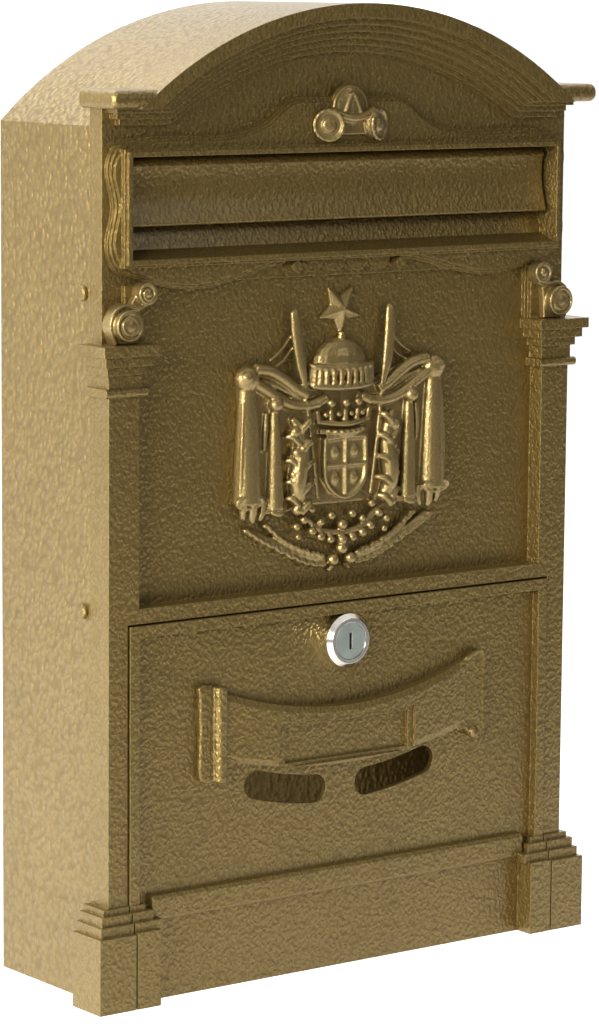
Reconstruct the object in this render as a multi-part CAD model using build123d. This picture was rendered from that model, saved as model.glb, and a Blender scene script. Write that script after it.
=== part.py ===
"""Wall mounted mailbox: a cast front with a pediment, pilasters and plinth on a deep rear casing.

Everything is drawn in a drawing frame: X to the right, Y from the front towards the wall,
Z up from the underside of the plinth, Y = 0 close to the face of the pilasters.
At the end every piece is moved so that the origin lies at the centre of the four wall screw
holes, on the back face that touches the wall.
"""
from build123d import *
import math
import os

# ---------------------------------------------------------------- driving dimensions (mm)
CASE_HALF_WIDTH = 121.8
CASE_BACK = 78.5            # wall face
CASE_BOTTOM = 1.0
CASE_WALL = 2.0
SEAM = 12.5                 # joint between the rear casing and the cast front
ROOF_RADIUS = 175.0
ROOF_APEX = 410.0
ROOF_CENTRE = ROOF_APEX - ROOF_RADIUS

MOUNT_HEIGHT = 210.0        # height of the centre of the wall holes above the plinth
WALL_HOLE_X = 80.0
WALL_HOLE_Z = 110.0
WALL_HOLE_RADIUS = 3.0

CASTING_WALL = 2.5
PILASTER_INNER = 106.8
PILASTER_FACE = -1.2
FIELD_FACE = 6.3
ATTIC_FACE = 1.8
ATTIC_BACK = 7.3
ATTIC_INNER = 101.0
ATTIC_OUTER = 112.0
FRIEZE_FACE = 4.0
FRIEZE_BOTTOM = 297.0
RAIL_BOTTOM = 159.2
RAIL_TOP = 165.5

CORNICE_HALF_WIDTH = 126.8
CORNICE_BOTTOM = 368.0
CORNICE_TOP = 375.6
CORNICE_FACE = -12.35
ARCH_RIM = 6.0

SLOT_HALF_WIDTH = 111.8
SLOT_BOTTOM = 307.5
SLOT_TOP = 348.7
SLOT_FACE = -3.6
SLOT_DEPTH = 12.0
PLATE_STEPS = ((0.0, 2.1), (1.0, 1.0), (2.2, -0.2))       # inset from the outline, face
BEAD_STEPS = ((3.2, -2.4), (2.1, SLOT_FACE))              # width around the opening, face

DOOR_HALF_WIDTH = 111.6
DOOR_GAP = 0.7
DOOR_TOP = 158.4
DOOR_FACE = -2.0
DOOR_PANEL_FACE = 2.0
DOOR_PANEL_BACK = 4.6
DOOR_FLANGE_BACK = 10.0
DOOR_BORDER = 4.8
FOOT_INNER = 100.0
FOOT_FACE = -7.8
FOOT_TOP = 31.8
BLOCK_OUTER = 130.2
PLINTH_PANEL_FACE = 1.2

HINGE_Y = 3.5
HINGE_Z = 2.4
KNUCKLE_RADIUS = 5.6
HINGE_PIN_RADIUS = 1.5
HINGE_BOSS_RADIUS = 2.4
RUNNING_GAP = 0.05

FLAP_HALF_WIDTH = 109.6
FLAP_PIVOT_Y = 7.6
FLAP_PIVOT_Z = 343.0
FLAP_ROD_RADIUS = 1.25
FLAP_ROLL_RADIUS = 2.6
FLAP_CROWN_RADIUS = 5.2
FLAP_CROWN_WALL = 1.3
SPRING_RADIUS = 2.4
SPRING_WIRE_RADIUS = 0.5
SPRING_NEAR = 86.0
SPRING_FAR = 96.0
SPRING_ANCHOR_Y = 3.3       # the leg that is held by the casting, this far behind the rod

LOCK_Z = 142.0
LOCK_BEZEL_RADIUS = 11.6
LOCK_BARREL_RADIUS = 9.0
LOCK_PLUG_RADIUS = 6.6
LOCK_FACE = -4.6
LOCK_BARREL_BACK = 19.0
CAM_THICKNESS = 2.0
CAM_REACH = 27.0

SIDE_SCREW_Y = 17.0
SIDE_SCREW_HEIGHTS = (163.5, 293.5)
SIDE_SCREW_RADIUS = 1.9
STUD_RADIUS = 1.5
STUD_NUT_RADIUS = 3.2
STUD_NUT_HEIGHT = 2.4

LEFT_RIGHT = (-1, 1)


# ---------------------------------------------------------------- helpers
def rect(x0, x1, z0, z1):
    """Rectangle in the X, Z elevation."""
    return Pos((x0 + x1) / 2, (z0 + z1) / 2) * Rectangle(abs(x1 - x0), abs(z1 - z0))


def slab(profile, front, back):
    """Elevation profile given thickness from Y = front to Y = back."""
    return extrude(Plane.XZ.offset(-back) * profile, amount=back - front)


def block(x0, x1, y0, y1, z0, z1):
    centre = ((x0 + x1) / 2, (y0 + y1) / 2, (z0 + z1) / 2)
    return Pos(*centre) * Box(abs(x1 - x0), abs(y1 - y0), abs(z1 - z0))


def rod_x(radius, x0, x1, y, z):
    return Pos((x0 + x1) / 2, y, z) * Rot(0, 90, 0) * Cylinder(radius, abs(x1 - x0))


def rod_y(radius, x, z, y0, y1):
    return Pos(x, (y0 + y1) / 2, z) * Rot(90, 0, 0) * Cylinder(radius, abs(y1 - y0))


def disc(radius, x, z):
    return Pos(x, z) * Circle(radius)


def arched(half_width, bottom, radius):
    """Elevation with upright sides and an arched top, sharing the roof's centre."""
    spring = ROOF_CENTRE + math.sqrt(radius ** 2 - half_width ** 2)
    top = ROOF_CENTRE + radius
    left, right = (-half_width, spring), (half_width, spring)
    outline = Polyline(left, (-half_width, bottom), (half_width, bottom), right)
    return make_face([*outline.edges(), ThreePointArc(right, (0, top), left)])


def mirrored(points):
    """A right-hand outline and its mirror image about X = 0, as one closed list."""
    return points + [(-x, z) for x, z in reversed(points)]


def joined(shapes):
    shapes = list(shapes)
    whole = shapes[0]
    for shape in shapes[1:]:
        whole = whole + shape
    return whole


# ---------------------------------------------------------------- rear casing
def rear_casing():
    outer = slab(arched(CASE_HALF_WIDTH, CASE_BOTTOM, ROOF_RADIUS), SEAM, CASE_BACK)
    hollow = slab(
        arched(CASE_HALF_WIDTH - CASE_WALL, CASE_BOTTOM + CASE_WALL, ROOF_RADIUS - CASE_WALL),
        SEAM,
        CASE_BACK - CASE_WALL,
    )
    shell = outer - hollow
    for sx in LEFT_RIGHT:
        for sz in LEFT_RIGHT:
            x = sx * WALL_HOLE_X
            z = MOUNT_HEIGHT + sz * WALL_HOLE_Z
            shell = shell + rod_y(7.0, x, z, CASE_BACK - 3.5, CASE_BACK - 0.5)
            shell = shell - rod_y(WALL_HOLE_RADIUS, x, z, CASE_BACK - 5, CASE_BACK + 1)
        for z in SIDE_SCREW_HEIGHTS:
            shell = shell - rod_x(
                SIDE_SCREW_RADIUS + 0.3,
                sx * (CASE_HALF_WIDTH - 4),
                sx * (CASE_HALF_WIDTH + 1),
                SIDE_SCREW_Y,
                z,
            )
    return shell


# ---------------------------------------------------------------- cast front
def pediment():
    """Arched cap with its stepped band, tympanum and the cornice bars."""
    spring = CORNICE_BOTTOM
    above = rect(-CORNICE_HALF_WIDTH, CORNICE_HALF_WIDTH, spring, ROOF_APEX + 1)
    disc_outer = disc(ROOF_RADIUS, 0, ROOF_CENTRE) & above
    rim_radius = ROOF_RADIUS - ARCH_RIM
    rim = disc_outer - disc(rim_radius, 0, ROOF_CENTRE)
    parts = [slab(rim, CORNICE_FACE, SEAM)]
    # concentric steps between the rim and the tympanum
    step_radii = (rim_radius, 166.2, 163.4, 160.6, 157.8, 155.0)
    step_faces = (-9.4, -6.6, -4.0, -1.4, 1.0)
    under_cornice = (368.0, 368.0, 366.3, 363.8, 361.2)
    half_widths = (121.8, 121.8, 120.0, 118.0, 115.4)
    for number, face in enumerate(step_faces):
        inner = disc(step_radii[number + 1], 0, ROOF_CENTRE)
        low = under_cornice[number]
        zone = rect(-half_widths[number], half_widths[number], low, ROOF_APEX + 1)
        band = (disc(step_radii[number] + 0.4, 0, ROOF_CENTRE) & zone) - inner
        parts.append(slab(band, face, FRIEZE_FACE + 1))
        if low < CORNICE_BOTTOM:
            ledge = rect(-half_widths[number], half_widths[number], low, CORNICE_BOTTOM + 0.5)
            parts.append(slab(ledge - inner, face, FRIEZE_FACE + 1))
    tympanum = disc_outer + rect(-CASE_HALF_WIDTH, CASE_HALF_WIDTH, 355.0, CORNICE_BOTTOM + 2)
    parts.append(slab(tympanum, FRIEZE_FACE, FRIEZE_FACE + CASTING_WALL))
    for side in LEFT_RIGHT:
        start = 103.5
        length = CORNICE_HALF_WIDTH - start
        bar = Box(length, SEAM - CORNICE_FACE, CORNICE_TOP - CORNICE_BOTTOM)
        nose = bar.edges().filter_by(Axis.X).group_by(Axis.Y)[0]
        bar = fillet(nose, 3.4)
        outer_edges = bar.edges().filter_by(Axis.Y).group_by(Axis.X)[-1]
        bar = fillet(outer_edges, 2.6)
        if side < 0:
            bar = mirror(bar, Plane.YZ)
        centre_x = side * (start + length / 2)
        centre_z = (CORNICE_TOP + CORNICE_BOTTOM) / 2
        parts.append(Pos(centre_x, (SEAM + CORNICE_FACE) / 2, centre_z) * bar)
    return parts


def cartouche_outline(inset):
    """Raised plate around the slot: waisted sides, a crest at the top and a dip each side below."""
    corner_top = (116.6 - inset, 353.2 - inset)
    corner_low = (116.2 - inset, 303.0 + inset)
    waist = [(120.3 - inset, 342.0), (117.6 - inset, 329.0), (120.3 - inset, 315.0)]
    foot = [(106.0, 299.3 + inset), (70.0, 294.6 + inset), (47.0, 300.0 + inset), (30.0, 303.2 + inset)]
    head = [(22.0, 371.4), (31.0, 369.6), (40.0, 363.0), (52.0, 358.2), (80.0, 356.6)]
    right_side = Spline(corner_top, *waist, corner_low)
    low = Spline(corner_low, *foot)
    high = Spline(*[(x, z - inset) for x, z in head], corner_top)
    bottom = Line((30.0, 303.2 + inset), (-30.0, 303.2 + inset))
    top = Line((22.0, 371.4 - inset), (-22.0, 371.4 - inset))
    edges = [right_side, low, high, bottom, top]
    edges += [mirror(curve, Plane.YZ) for curve in (right_side, low, high)]
    return make_face([edge for curve in edges for edge in curve.edges()])


def slot_surround():
    """Stepped plate with a scalloped foot, two square beads and the short tunnel behind the opening."""
    opening = rect(-SLOT_HALF_WIDTH, SLOT_HALF_WIDTH, SLOT_BOTTOM, SLOT_TOP)
    back = FRIEZE_FACE + 1
    parts = [slab(cartouche_outline(inset), face, back) for inset, face in PLATE_STEPS]
    for width, face in BEAD_STEPS:
        bead = rect(
            -SLOT_HALF_WIDTH - width,
            SLOT_HALF_WIDTH + width,
            SLOT_BOTTOM - width,
            SLOT_TOP + width,
        )
        parts.append(slab(bead, face, back))
    for side in LEFT_RIGHT:
        for x in (6.0, 17.5):
            scallop = disc(6.0, side * x, 304.8) & rect(-26, 26, 298.0, 304.15)
            parts.append(slab(scallop, 1.2, back))
        parts.append(rod_y(2.5, side * 27.5, 301.6, -1.4, back))
    tunnel_outer = rect(-SLOT_HALF_WIDTH - 2, SLOT_HALF_WIDTH + 2, SLOT_BOTTOM - 2, SLOT_TOP + 2)
    parts.append(slab(tunnel_outer, FRIEZE_FACE, SLOT_DEPTH))
    return parts, slab(opening, SLOT_FACE - 1, SLOT_DEPTH + 1)


def slot_sill():
    """Sloped sill and low back wall under the letter flap; the throat above it stays open."""
    profile = Polyline(
        (SLOT_FACE + 1.2, SLOT_BOTTOM - 0.5),
        (7.2, SLOT_BOTTOM + 3.2),
        (9.6, SLOT_BOTTOM + 12.2),
        (SLOT_DEPTH, SLOT_BOTTOM + 12.2),
        (SLOT_DEPTH, SLOT_BOTTOM - 1.0),
        close=True,
    )
    face = Plane.YZ.offset(-SLOT_HALF_WIDTH - 0.5) * make_face(profile.edges())
    return extrude(face, amount=2 * SLOT_HALF_WIDTH + 1)


def capital(side):
    """Abacus, two stepped mouldings, a neck and a rounded astragal around a pilaster."""
    parts = []
    steps = ((269.3, 273.6, 6.4), (265.2, 269.3, 4.4), (261.6, 265.2, 2.2), (256.2, 261.6, 0.7))
    for low, high, out in steps:
        x0 = PILASTER_INNER - out
        x1 = CASE_HALF_WIDTH + out * 0.98
        parts.append(block(side * x0, side * x1, PILASTER_FACE - out, SEAM, low, high))
    out = 2.6
    ring = Box(CASE_HALF_WIDTH - PILASTER_INNER + 2 * out, SEAM - PILASTER_FACE + out, 3.6)
    ring = fillet(ring.edges().filter_by(Axis.X).group_by(Axis.Y)[0], 1.6)
    centre_x = side * (CASE_HALF_WIDTH + PILASTER_INNER) / 2
    parts.append(Pos(centre_x, (SEAM + PILASTER_FACE - out) / 2, 254.4) * ring)
    return parts


def plinth_block(side):
    """Outer part of the plinth with its stepped base mouldings."""
    inner = DOOR_HALF_WIDTH + DOOR_GAP
    steps = ((40.0, 42.5, 3.2, 1.2), (36.0, 40.0, 5.2, 3.0), (FOOT_TOP, 36.0, 6.7, 4.7))
    parts = []
    for low, high, out_x, out_y in steps:
        x1 = side * (CASE_HALF_WIDTH + out_x)
        parts.append(block(side * inner, x1, PILASTER_FACE - out_y, SEAM, low, high))
    parts.append(block(side * inner, side * BLOCK_OUTER, FOOT_FACE, SEAM, 0, FOOT_TOP))
    hollow = block(
        side * (inner + 2.2),
        side * (BLOCK_OUTER - 2.2),
        FOOT_FACE + 2.2,
        SEAM + 0.1,
        8.6,
        FOOT_TOP - 2.2,
    )
    knuckle = rod_x(KNUCKLE_RADIUS, side * (inner + 0.2), side * 121.6, HINGE_Y, HINGE_Z)
    bore = rod_x(HINGE_PIN_RADIUS + RUNNING_GAP, side * (inner - 1), side * 120.6, HINGE_Y, HINGE_Z)
    solid = joined(parts) - hollow
    return solid + knuckle - bore


def front_casting():
    parts = pediment()
    surround, opening = slot_surround()
    parts += surround
    # frieze and the field that carries the crest
    frieze = rect(-CASE_HALF_WIDTH, CASE_HALF_WIDTH, FRIEZE_BOTTOM, CORNICE_BOTTOM)
    parts.append(slab(frieze, FRIEZE_FACE, FRIEZE_FACE + CASTING_WALL))
    field = rect(-PILASTER_INNER - 1, PILASTER_INNER + 1, RAIL_BOTTOM, FRIEZE_BOTTOM + 4)
    parts.append(slab(field, FIELD_FACE, FIELD_FACE + CASTING_WALL))
    parts.append(slab(rect(-112, 112, 300.0, 303.7), FRIEZE_FACE, FIELD_FACE + 1))
    # rail above the door, with the strike lip that the lock's cam turns behind
    rail = rect(-PILASTER_INNER - 1, PILASTER_INNER + 1, RAIL_BOTTOM, RAIL_TOP)
    parts.append(slab(rail, PILASTER_FACE, FIELD_FACE + CASTING_WALL))
    parts.append(block(-15, 15, FIELD_FACE, 18.2, RAIL_BOTTOM, RAIL_BOTTOM + 2.4))
    parts.append(block(-15, 15, 16.2, 18.2, RAIL_BOTTOM, RAIL_BOTTOM + 11))
    for side in LEFT_RIGHT:
        outer = side * CASE_HALF_WIDTH
        jamb = side * (DOOR_HALF_WIDTH + DOOR_GAP)
        shaft = block(side * PILASTER_INNER, outer, PILASTER_FACE, SEAM, RAIL_BOTTOM, FRIEZE_BOTTOM)
        shaft_hollow = block(
            side * (PILASTER_INNER + 2.2),
            side * (CASE_HALF_WIDTH - 3),
            PILASTER_FACE + 2.2,
            SEAM + 1,
            RAIL_BOTTOM + 2.2,
            FRIEZE_BOTTOM + 1,
        )
        leg = block(jamb, outer, PILASTER_FACE, SEAM, 30.0, RAIL_BOTTOM + 1)
        leg_hollow = block(
            side * (DOOR_HALF_WIDTH + DOOR_GAP + 2.2),
            side * (CASE_HALF_WIDTH - 3),
            PILASTER_FACE + 2.2,
            SEAM + 1,
            33.0,
            RAIL_BOTTOM - 1,
        )
        attic_cut = block(
            side * (PILASTER_INNER - 1),
            side * (CASE_HALF_WIDTH + 1),
            PILASTER_FACE - 1,
            FRIEZE_FACE,
            273.6,
            FRIEZE_BOTTOM + 1,
        )
        parts.append(joined([shaft, leg] + capital(side)) - shaft_hollow - leg_hollow - attic_cut)
        attic_top = FRIEZE_BOTTOM + 0.5
        parts.append(block(side * ATTIC_INNER, outer, FRIEZE_FACE, ATTIC_BACK, 273.0, attic_top))
        raised = block(
            side * (ATTIC_INNER + 1.4),
            side * ATTIC_OUTER,
            ATTIC_FACE,
            FRIEZE_FACE + 1,
            273.0,
            FRIEZE_BOTTOM,
        )
        parts.append(raised)
        parts.append(block(side * 118.8, outer, FRIEZE_FACE, SEAM, FRIEZE_BOTTOM - 1, CORNICE_BOTTOM + 1))
        parts.append(plinth_block(side))
    # lip that slides into the rear casing
    lip_half = CASE_HALF_WIDTH - CASE_WALL - 0.15
    lip_radius = ROOF_RADIUS - CASE_WALL - 0.15
    lip = arched(lip_half, 12.0, lip_radius) - arched(lip_half - 2, 10.0, lip_radius - 2)
    parts.append(slab(lip - rect(-lip_half + 2, lip_half - 2, 0, 40), SEAM - 3.5, SEAM + 9.5))
    whole = joined(parts) - opening + slot_sill()
    roof_trim = slab(
        rect(-CORNICE_HALF_WIDTH - 1, CORNICE_HALF_WIDTH + 1, CORNICE_TOP, ROOF_APEX + 5)
        - disc(ROOF_RADIUS, 0, ROOF_CENTRE),
        CORNICE_FACE - 1,
        SEAM + 12,
    )
    whole = whole - roof_trim
    for side in LEFT_RIGHT:
        whole = whole - rod_x(
            FLAP_ROD_RADIUS + RUNNING_GAP,
            side * (SLOT_HALF_WIDTH - 1),
            side * (SLOT_HALF_WIDTH + 3),
            FLAP_PIVOT_Y,
            FLAP_PIVOT_Z,
        )
        clip_seat = side * (SLOT_HALF_WIDTH + 1.9)
        clip_pocket = rod_x(3.3, clip_seat, clip_seat + side * 3, FLAP_PIVOT_Y, FLAP_PIVOT_Z)
        whole = whole - clip_pocket - rod_x(
            SPRING_WIRE_RADIUS + RUNNING_GAP,
            side * (SLOT_HALF_WIDTH - 1),
            side * (SLOT_HALF_WIDTH + 3),
            FLAP_PIVOT_Y + SPRING_ANCHOR_Y,
            FLAP_PIVOT_Z,
        )
        for z in SIDE_SCREW_HEIGHTS:
            whole = whole - rod_x(SIDE_SCREW_RADIUS, side * 112, side * 122, SIDE_SCREW_Y, z)
    for x, z in STUD_POSITIONS:
        whole = whole - rod_y(STUD_RADIUS + 0.15, x, z, -2, 14)
    return whole


# ---------------------------------------------------------------- applied ornaments
CREST_STUDS = ((-30.0, 225.0), (30.0, 225.0))
CONSOLE_STUDS = ((-112.5, 287.0), (112.5, 287.0))
KEYSTONE_STUDS = ((0.0, 360.0),)
STUD_POSITIONS = CREST_STUDS + CONSOLE_STUDS + KEYSTONE_STUDS


def stud(x, z, front, back):
    return rod_y(STUD_RADIUS, x, z, front, back)


def crest():
    """Draped mantle behind a blank shield, with a coronet, a star, two staffs and a garland."""
    base = FIELD_FACE
    mantle = make_face(
        Polyline(
            *mirrored([
                (8.0, 247.0),
                (24.0, 256.0),
                (44.0, 262.0),
                (54.5, 257.0),
                (56.0, 202.0),
                (44.0, 196.0),
                (26.0, 194.0),
                (10.0, 199.0),
            ]),
            close=True,
        ).edges()
    )
    parts = [slab(mantle, base - 2.4, base)]
    for side in LEFT_RIGHT:
        outer_fold = make_face(
            Polyline(
                (side * 46.5, 250),
                (side * 53.5, 250),
                (side * 55.6, 203),
                (side * 43.4, 203),
                close=True,
            ).edges()
        )
        inner_fold = make_face(
            Polyline(
                (side * 34.0, 243),
                (side * 38.0, 243),
                (side * 40.0, 200),
                (side * 31.5, 200),
                close=True,
            ).edges()
        )
        parts.append(slab(outer_fold, base - 6.4, base))
        parts.append(slab(inner_fold, base - 5.2, base))
        parts.append(slab(disc(5.0, side * 50.5, 257.0), base - 6.0, base))
        leaf = Pos(side * 24.5, 215.0) * Ellipse(7.0, 19.0)
        parts.append(slab(leaf, base - 4.2, base))
        slope = math.degrees(math.atan2(12.5, 80.0))
        staff = Pos(side * 19.5, 242.0) * Rot(0, 0, -side * slope) * Rectangle(3.6, 78.0)
        parts.append(slab(staff, base - 6.0, base))
    dome = (disc(17.0, 0, 253.0) & rect(-17, 17, 250.5, 271)) + rect(-17.5, 17.5, 248.0, 252.0)
    parts.append(slab(dome, base - 6.0, base))
    coronet = make_face(
        Polyline(*mirrored([(12.0, 228.0), (15.5, 240.0), (8.0, 238.0), (3.0, 243.5)]), close=True).edges()
    )
    parts.append(slab(coronet, base - 6.6, base))
    shield = rect(-11.5, 11.5, 212.0, 230.0) + (Pos(0, 212.0) * Ellipse(11.5, 9.5))
    parts.append(slab(shield, base - 6.8, base))
    star = Pos(0, 283.0) * Rot(0, 0, 90) * make_face(Polyline(*star_points(5, 9.0, 4.2), close=True).edges())
    parts.append(slab(star, base - 3.4, base))
    parts.append(slab(rect(-1.4, 1.4, 268.0, 280.0), base - 2.0, base))
    garland = (disc(54.0, 0, 226.0) - disc(47.0, 0, 228.0)) & rect(-47, 47, 170, 197.5)
    parts.append(slab(garland, base - 2.6, base))
    parts.append(slab(Pos(0, 176.5) * Ellipse(7.5, 5.0), base - 4.6, base))
    whole = joined(parts)
    for x, z in CREST_STUDS:
        whole = whole + stud(x, z, base - 1, base + CASTING_WALL + 4)
    return whole


def star_points(count, outer, inner):
    points = []
    for k in range(2 * count):
        radius = outer if k % 2 == 0 else inner
        angle = math.pi * k / count
        points.append((radius * math.cos(angle), radius * math.sin(angle)))
    return points


def console(side):
    """S-shaped bracket standing on a capital: a small scroll above and a large one below."""
    x, z = CONSOLE_STUDS[0 if side < 0 else 1]
    parts = [
        rod_y(4.7, side * 104.5, 294.0, -4.8, FRIEZE_FACE),
        rod_y(6.6, side * 114.0, 281.4, -5.8, FRIEZE_FACE),
    ]
    web = Polyline(
        (side * 102.4, 291.0),
        (side * 106.0, 298.0),
        (side * 119.0, 286.5),
        (side * 119.0, 273.8),
        (side * 107.0, 273.8),
        close=True,
    )
    parts.append(slab(make_face(web.edges()), -2.2, FRIEZE_FACE))
    seat = block(side * 98.0, side * ATTIC_OUTER, ATTIC_FACE, FRIEZE_FACE + 1, 270.0, 300.0)
    return joined(parts) - seat + stud(x, z, -1.0, ATTIC_BACK + 3.4)


def keystone_scroll():
    """Pair of small rolled scrolls with a saddle between them, above the middle of the slot."""
    x, z = KEYSTONE_STUDS[0]
    face = -0.6
    parts = [rod_y(6.4, side * 12.6, 359.6, face - 4.6, face) for side in LEFT_RIGHT]
    parts.append(slab(rect(-12.6, 12.6, 358.0, 366.0), face - 2.6, face))
    parts.append(slab(disc(9.0, 0, 362.2) & rect(-9, 9, 362, 371.2), face - 1.4, face))
    return joined(parts) + stud(x, z, face - 1, FRIEZE_FACE + CASTING_WALL + 4)


def stud_nuts(positions, seat):
    """Push-on hexagon nuts on the inner end of the ornament studs."""
    nuts = []
    for x, z in positions:
        blank = slab(Pos(x, z) * RegularPolygon(STUD_NUT_RADIUS, 6), seat, seat + STUD_NUT_HEIGHT)
        nuts.append(blank - rod_y(STUD_RADIUS, x, z, seat - 1, seat + STUD_NUT_HEIGHT + 1))
    return Compound(children=nuts)


# ---------------------------------------------------------------- door
WINDOW_ARC_RADIUS = 168.0
WINDOW_ARC_CENTRE = 246.2
WINDOW_HEIGHT = 12.2
WINDOW_NEAR = 13.9
WINDOW_FAR = 44.9


def view_window(side):
    """Curved slot through the door panel that shows whether there is post inside."""
    start = math.degrees(math.asin(WINDOW_NEAR / WINDOW_ARC_RADIUS))
    end = math.degrees(math.asin(WINDOW_FAR / WINDOW_ARC_RADIUS))
    first = -90 + start if side > 0 else -90 - end
    arc = CenterArc((0, WINDOW_ARC_CENTRE), WINDOW_ARC_RADIUS, first, end - start)
    return SlotArc(arc, WINDOW_HEIGHT)


def door():
    w = DOOR_HALF_WIDTH
    inner = w - DOOR_BORDER
    border = rect(-w, w, 40.0, DOOR_TOP) - rect(-inner, inner, 30.0, DOOR_TOP - DOOR_BORDER)
    parts = [slab(border, DOOR_FACE, DOOR_PANEL_BACK)]
    parts.append(slab(rect(-w, w, 40.0, DOOR_TOP), DOOR_PANEL_FACE, DOOR_PANEL_BACK))
    band = Box(2 * FOOT_INNER, DOOR_PANEL_BACK - (-1.6), 11.0)
    band = fillet(band.edges().filter_by(Axis.X).group_by(Axis.Y)[0], 1.8)
    parts.append(Pos(0, (DOOR_PANEL_BACK - 1.6) / 2, 39.3) * band)
    parts.append(slab(rect(-w, w, 0, 41.0), PLINTH_PANEL_FACE, PLINTH_PANEL_FACE + CASTING_WALL))
    flange = rect(-w, w, 6.0, DOOR_TOP) - rect(-w + 2.4, w - 2.4, 3.0, DOOR_TOP - 2.4)
    parts.append(slab(flange, PLINTH_PANEL_FACE, DOOR_FLANGE_BACK))
    steps = ((40.0, 42.5, 2.6, 1.2), (36.0, 40.0, 5.6, 3.0), (FOOT_TOP, 36.0, 9.0, 4.7))
    for side in LEFT_RIGHT:
        for low, high, out_x, out_y in steps:
            x0 = side * (PILASTER_INNER - out_x)
            parts.append(block(x0, side * w, PILASTER_FACE - out_y, DOOR_PANEL_BACK, low, high))
        foot = block(side * FOOT_INNER, side * w, FOOT_FACE, DOOR_PANEL_BACK, 0, FOOT_TOP + 0.5)
        foot_hollow = block(
            side * (FOOT_INNER + 2.2),
            side * (w - 2.4),
            FOOT_FACE + 2.2,
            DOOR_PANEL_BACK + 1,
            7.0,
            FOOT_TOP - 2.2,
        )
        boss = rod_x(HINGE_BOSS_RADIUS, side * (FOOT_INNER + 1), side * w, HINGE_Y, HINGE_Z)
        parts.append(foot - foot_hollow + boss)
    whole = joined(parts)
    for side in LEFT_RIGHT:
        whole = whole - slab(view_window(side), -6, 10)
        whole = whole - rod_x(HINGE_PIN_RADIUS, side * 103, side * (w + 1), HINGE_Y, HINGE_Z)
        whole = whole - rod_y(STUD_RADIUS + 0.15, side * SCROLL_STUD_X, SCROLL_STUD_Z, -2, 8)
    return whole - rod_y(LOCK_BARREL_RADIUS + 0.1, 0, LOCK_Z, -4, 8)


SCROLL_STUD_X = 60.0
SCROLL_STUD_Z = 108.0
SCROLL_HALF_WIDTH = 76.0
SCROLL_FACE = -4.0
SCROLL_END_FACE = -0.9
SCROLL_LOW = 88.4
SCROLL_HIGH = 129.0
SCROLL_ROLL_RADIUS = 3.1
SCROLL_ROLL_X = 65.8
NAME_STEP_FACE = -2.4
NAME_FIELD_FACE = -0.8
NAME_HALF_WIDTH = 33.0
NAME_LOW = 92.6
NAME_HIGH = 108.0


def name_scroll():
    """Ribbon with rolled ends, bowed like a smile, with a stepped sunk field for a name."""
    upper = ThreePointArc((-66, 127.0), (0, 114.6), (66, 127.0))
    lower = ThreePointArc((66, 97.6), (0, 89.4), (-66, 97.6))
    sides = [Line((66, 127.0), (66, 97.6)), Line((-66, 97.6), (-66, 127.0))]
    ribbon = make_face([*upper.edges(), *lower.edges(), *sides[0].edges(), *sides[1].edges()])
    front = DOOR_PANEL_FACE
    parts = [slab(ribbon, SCROLL_FACE, front)]
    roll = Cylinder(SCROLL_ROLL_RADIUS, SCROLL_HIGH - SCROLL_LOW)
    roll_y = front - SCROLL_ROLL_RADIUS - RUNNING_GAP
    roll_z = (SCROLL_LOW + SCROLL_HIGH) / 2
    for side in LEFT_RIGHT:
        edge = side * SCROLL_HALF_WIDTH
        parts.append(block(side * 62, edge, SCROLL_END_FACE, front, SCROLL_LOW, SCROLL_HIGH))
        parts.append(Pos(side * SCROLL_ROLL_X, roll_y, roll_z) * roll)
    whole = joined(parts)
    step = rect(-NAME_HALF_WIDTH - 3, NAME_HALF_WIDTH + 3, NAME_LOW - 1.6, NAME_HIGH + 2.0)
    field = rect(-NAME_HALF_WIDTH, NAME_HALF_WIDTH, NAME_LOW, NAME_HIGH)
    whole = whole - slab(step, SCROLL_FACE - 1, NAME_STEP_FACE)
    whole = whole - slab(field, SCROLL_FACE - 1, NAME_FIELD_FACE)
    for side in LEFT_RIGHT:
        whole = whole + stud(side * SCROLL_STUD_X, SCROLL_STUD_Z, 0, DOOR_PANEL_BACK + 3.4)
    return whole


def hinge_pin(side):
    """Steel pin pressed into the door's foot and turning in the knuckle of the front."""
    return rod_x(HINGE_PIN_RADIUS, side * 103.0, side * 120.0, HINGE_Y, HINGE_Z)


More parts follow.
